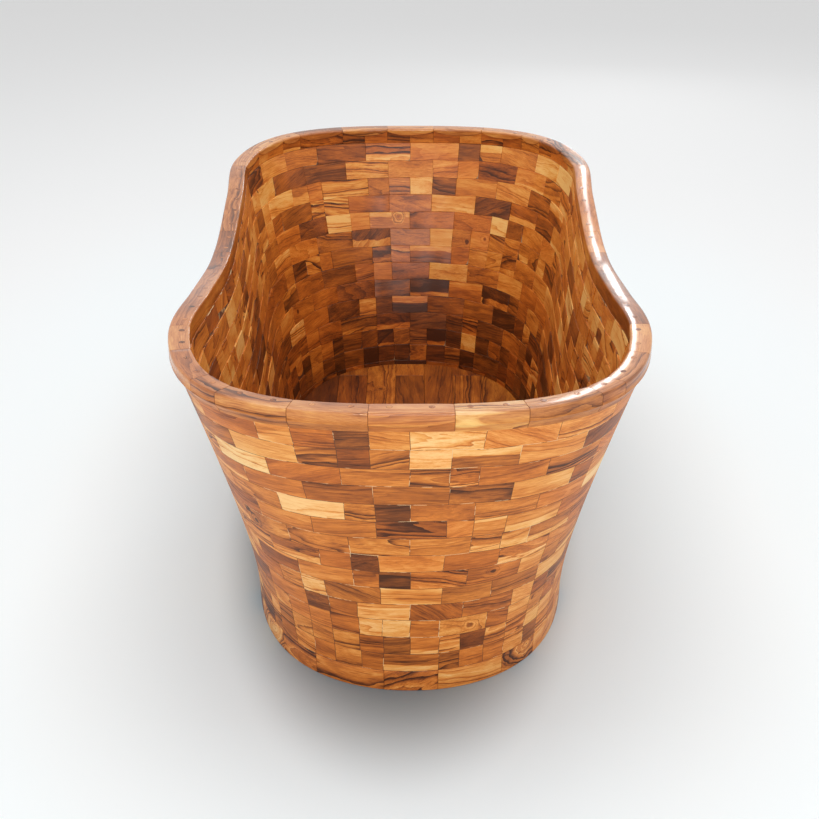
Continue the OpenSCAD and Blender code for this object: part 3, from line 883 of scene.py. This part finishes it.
def growth_rings(wood, log, knot, ring):
    """Growth rings round the log's long axis, which bend round a knot: how each grew, its late
    wood, and its late wood as dark as that year made it."""
    warp = wood.noise(log, (4, 16, 16), 2) * 0.030 + wood.noise(log, (16, 70, 70), 2) * 0.009
    radius = wood.length(wood.scaled(log, (0, 1, 1))) + warp
    radius = radius + knot.ramp(0.022, 0.004) * (knot * 1.6 - radius) * 0.85
    growth = wood.bands(radius / ring * 0.8, 2)
    year = wood.bands(radius / ring * 0.45 + 31, 1).ramp(-0.08, 0.16, 0.1, 1.0)
    late = (radius / ring + growth * 1.1).fraction() ** 3
    return growth, late, late * year


def teak_tone(wood, cut, knot, rings, fibre, pores, figure):
    """The tone at a point: the piece's own, moved by the figure, sapwood, knots, dark edges, and
    painted light and shade.
    """
    growth, _, dark = rings
    blotch = wood.noise(cut.log, (10, 38, 38), 3, 0.6)
    streak = wood.noise(cut.log, (15, 270, 270), 3, 0.6).ramp(0.05, 0.20)
    vein = wood.noise(cut.log, (7, 150, 150), 2).ramp(0.12, 0.24)
    drawn = growth * GROWTH_TONE + dark * LATE_TONE + vein * VEIN_TONE
    tone = cut.tone + VARNISH_TONE + drawn * cut.strength * figure
    tone = tone + fibre * FIBRE_TONE + blotch * BLOTCH_TONE + streak * STREAK_TONE
    tone = tone + pores * PORE_TONE + cut.edge * (1 - cut.inside * 0.8) * EDGE_TONE
    sap = (cut.height + blotch * 0.5 - cut.stripe).ramp(0.03, -0.03)
    tone = tone + sap * (SAP_TONE - cut.tone) * 0.8 + knot.ramp(0.0075, 0.003) * KNOT_TONE
    # Painted light on the tub's inside, and painted shade that deepens towards its floor
    return tone + cut.inside * PAINTED_ROOM_LIGHT + cut.deep * PAINTED_DEEP_SHADE


def teak(name, palette, ring=0.008, figure=1.0, rough=0.5, coat=0.35, coat_rough=0.22,
         read_cut=marked_cut, outside=1.0, bare_and_shaded_below=None):
    """Varnished teak, cut from a log with rings of some width. The outside keeps a share of the
    coat, and below a height of the face the wood may be nearly bare and painted darker, a painted
    shade under the rim's nose; where that height is given, the faces below the top are also tinted
    deeper than the top, which leaves a painted sheen on the top."""
    wood = Finish(name)
    cut = read_cut(wood)
    knot = cut.knot + wood.noise(cut.log, (60, 60, 60), 1) * 0.014
    rings = growth_rings(wood, cut.log, knot, ring)
    fibre = wood.noise(cut.log, (34, 900, 900), 3, 0.7)
    pores = wood.noise(cut.log, (70, 1500, 1500), 1).ramp(0.12, 0.22)
    tone = teak_tone(wood, cut, knot, rings, fibre, pores, figure)
    if isinstance(cut.edge, Value):
        coat = cut.edge.ramp(0.1, 0.7, coat, 0.0) * (cut.inside * (1 - outside) + outside)
    # Below a height the coat thins and the tone is darker: painted shade in the cove under the rim's
    # nose
    if bare_and_shaded_below is not None:
        tone = tone + cut.height.ramp(bare_and_shaded_below, 0.1) * PAINTED_COVE_SHADE
        coat = coat * cut.height.ramp(bare_and_shaded_below, bare_and_shaded_below + 0.3, 0.15, 1.0)
    colour = wood.node("ShaderNodeValToRGB", {"stops": palette}, {"Fac": tone})
    colour = wood.mix((cut.warm - 0.5).ramp(-0.5, 0.5) * 0.6, colour, WARM_TINT, "MULTIPLY")
    # The tub's inside is tinted warmer and deeper: a painted light, as bounced about its room
    colour = wood.mix(cut.inside, colour, PAINTED_ROOM_TINT, "MULTIPLY")
    # The faces below the rim's top are tinted deeper, so that the top reads paler, as a painted sheen
    if bare_and_shaded_below is not None:
        colour = wood.mix(cut.height.ramp(0.98, 0.86), colour, RIM_FACE_PAINTED_TINT, "MULTIPLY")
    _, late, dark = rings
    relief = wood.bump(fibre * 0.6 - dark * 0.3 - pores * 0.6, 0.16, 0.0006)
    return wood.shade(Base_Color=colour, Roughness=rough + fibre * 0.25 + late * 0.06,
                      Normal=relief, IOR=1.45, Specular_IOR_Level=0.3, Coat_Weight=coat,
                      Coat_Roughness=coat_rough)


def glue(name, pale_from):
    """Glue in the joints: mostly dark, with pale filler in places."""
    paste = Finish(name)
    place = paste.place()
    inside, _, _ = paste.parts(paste.attribute("place"))
    lumps = paste.noise(place, (18, 18, 26), 3, 0.7)
    pale = lumps.ramp(pale_from, pale_from + 0.06) * (1 - inside * 0.6)
    dirt = paste.noise(place, (200, 200, 200), 1)
    colour = paste.mix(pale, (0.110, 0.036, 0.012), (0.82, 0.57, 0.30))
    return paste.shade(Base_Color=colour, Roughness=0.6 + dirt * 0.2, IOR=1.45)


def metal(name, colour, rough, scratch):
    """Metal with fine turning marks."""
    plate = Finish(name)
    place = plate.place()
    marks = plate.noise(place, (400, 400, 900), 2)
    stain = plate.noise(place, (30, 30, 30), 2)
    dulled = tuple(0.85 * part for part in colour)
    return plate.shade(Base_Color=plate.mix(stain + 0.5, colour, dulled), Metallic=1.0,
                       Roughness=rough + marks * 0.1 + stain * 0.08,
                       Normal=plate.bump(marks, scratch, 0.0002))


def rubber(name):
    """Matt black rubber, a little gritty."""
    ring = Finish(name)
    grit = ring.noise(ring.place(), (600, 600, 600), 2)
    colour = ring.mix(grit + 0.5, (0.016, 0.016, 0.017), (0.035, 0.034, 0.033))
    return ring.shade(Base_Color=colour, Roughness=0.62 + grit * 0.2)


# Assembly

def dress(piece, material, slot, *nodes, body="tub"):
    """Gives a piece its material and body, and lets it stand for its solids."""
    piece.data.materials.append(material)
    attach(piece, body)
    if nodes:
        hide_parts(*nodes)


def repaint(node, material):
    """Gives a solid that stays a better material."""
    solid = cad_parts[node]
    for slot in solid.material_slots:
        slot.material = material


def build_wall(finish):
    for course in range(1, COURSES + 1):
        dress(wall_course(course), finish, "wall_teak", f"course_{course:02d}")
    dress(glue_bed(), glue("joint_glue", 0.02), "wall_teak")
    dress(glue_bead(), glue("bead_glue", -0.10), "wall_teak")


def build_foot():
    dress(foot_ring(), teak("foot_teak", TEAK, ring=0.010, figure=1.35), "foot_teak", "foot_ring")


def build_rim(wall_finish):
    finish = teak("rim_teak", RIM_TEAK, figure=1.15, rough=0.4, coat=0.8, coat_rough=0.11,
                  bare_and_shaded_below=0.45)
    for number, node in enumerate(RIM_PARTS):
        dress(rim_part(node, RIM_SEED + number), finish, "rim_teak", node)
        if node.endswith("end"):
            dress(rim_lining(node, LINING_SEED + number), wall_finish, "wall_teak")
    dress(rim_plugs(), teak("plug_teak", RIM_TEAK, coat=0.8), "plug_teak", "rim_plugs")
    repaint("rim_screws", metal("screw_steel", (0.55, 0.54, 0.52), 0.35, 0.2))


def build_floor():
    finish = teak("floor_teak", DARK_AND_SHADED_TEAK, ring=0.009)
    for number in range(1, 2 * SIDE_BOARDS + 2):
        dress(floor_board(number), finish, "floor_teak", f"floor_board_{number}")
    repaint("floor_bearers", teak("bearer_teak", DARK_AND_SHADED_TEAK, rough=0.7, coat=0.0,
                                  read_cut=plain_cut))


def build_waste():
    chrome = metal("waste_chrome", (0.78, 0.79, 0.80), 0.12, 0.05)
    for node in ("waste_body", "waste_plug"):
        repaint(node, chrome)
    repaint("waste_nut", metal("nut_brass", (0.72, 0.50, 0.22), 0.3, 0.15))
    repaint("waste_stem_clip", metal("clip_steel", (0.6, 0.6, 0.6), 0.25, 0.1))
    seal = rubber("washer_rubber")
    for node in ("waste_floor_washer", "waste_nut_washer", "waste_plug_ring"):
        repaint(node, seal)


# Stage

# Half the floor's side, and the oval of painted shadow on it
STUDIO_HALF = 14.0
SHADE_X, SHADE_Y, SHADE_SHIFT = 0.39, 0.96, 0.02


def studio_floor():
    """A pale floor, painted a little lighter and bluer round the tub against its shade and the warm
    light off its wood, and with a painted shadow close round its foot."""
    data = bpy.data.meshes.new("studio_floor")
    corners = ((-1, -1), (1, -1), (1, 1), (-1, 1))
    data.from_pydata([(x * STUDIO_HALF, y * STUDIO_HALF, 0) for x, y in corners], [], [range(4)])
    floor = add_object("studio_floor", data)
    paint = Finish("floor_paint")
    place = paint.place()
    _, y, _ = paint.parts(place)
    shifted = paint.moved(place, (SHADE_SHIFT, 0, 0))
    reach = paint.length(paint.scaled(shifted, (1 / SHADE_X, 1 / SHADE_Y, 0)))
    far = paint.length(paint.scaled(place, (1, 0.6, 0)))
    colour = paint.mix(y.ramp(0.0, 7.0), (0.940, 0.950, 0.955), (0.95, 0.95, 0.95))
    # Painted light: a little lighter and bluer round the tub, against its shade and the warm light
    # off its wood
    colour = paint.mix(far.ramp(1.7, 0.8), colour, (0.92, 0.98, 1.0))
    colour = paint.mix(far.ramp(0.8, 0.3), colour, (0.80, 0.935, 1.0))
    # Painted shadow close round the tub's foot
    colour = paint.mix(reach.ramp(1.03, 0.62, 0, 0.74), colour, (0.0, 0.01, 0.015))
    floor.data.materials.append(paint.shade(Base_Color=colour, Roughness=0.9,
                                            Specular_IOR_Level=0.1))


def lamp(name, place, target, size, power):
    """A soft lamp that shines from a place at a target."""
    light = bpy.data.lights.new(name, "AREA")
    light.shape, light.energy = "RECTANGLE", power
    light.size, light.size_y = size
    thing = add_object(name, light)
    direction = np.subtract(target, place)
    flat = math.hypot(direction[0], direction[1])
    thing.location = place
    thing.rotation_euler = (math.atan2(flat, -direction[2]), 0,
                            math.atan2(-direction[0], direction[1]))


def studio_light():
    """A key lamp and a top lamp, two strips for the gloss on the rim, and a grey world."""
    lamp("key_soft", (0.1, -4.8, 1.75), (0, 0, 0.4), (1.7, 1.9), 60)
    lamp("top_soft", (0.0, 0.2, 3.8), (0, 0, 0.3), (3.2, 3.2), 56)
    lamp("low_strip", (0.97, 4.4, 1.20), (0.3, 0, 0.6), (0.18, 0.6), 2.4)
    lamp("high_strip", (0.86, 4.4, 2.55), (0.3, 0, 0.6), (0.16, 1.3), 7.0)
    world = bpy.data.worlds.new("studio")
    bpy.context.scene.world = world
    sky = Finish(world=world)
    _, _, up = sky.parts(sky.place("Generated"))
    colour = sky.mix(up.ramp(0.0, 0.9), (0.80, 0.80, 0.80), (0.64, 0.64, 0.64))
    camera_ray, glossy_ray, through_ray = (
        sky.node("ShaderNodeLightPath", output=f"Is {kind} Ray")
        for kind in ("Camera", "Glossy", "Transmission"))
    colour = sky.mix(camera_ray + glossy_ray + through_ray, colour, (0.74, 0.74, 0.74))
    shade = sky.node("ShaderNodeBackground", None, {"Color": colour, "Strength": 1.0})
    sky.node("ShaderNodeOutputWorld", None, {"Surface": shade})


def camera():
    """The camera of the photograph, on the tub's middle line."""
    pitch, distance, height = math.radians(25.4), 2.858, 1.606
    focal, frame_px, centre_x, sensor = 1478.0, 819, 410, 36.0
    data = bpy.data.cameras.new("camera")
    data.sensor_width = data.sensor_height = sensor
    data.sensor_fit = "HORIZONTAL"
    data.lens = focal / frame_px * sensor
    data.shift_x = (frame_px / 2 - centre_x) / frame_px
    thing = add_object("camera", data)
    thing.location = (0, -distance, height)
    thing.rotation_euler = (math.pi / 2 - pitch, 0, 0)
    bpy.context.scene.camera = thing


wall_teak = teak("wall_teak", TEAK, outside=0.4)
build_wall(wall_teak)
build_foot()
build_rim(wall_teak)
build_floor()
build_waste()
studio_floor()
studio_light()
camera()
bpy.context.scene.view_settings.view_transform = "Standard"
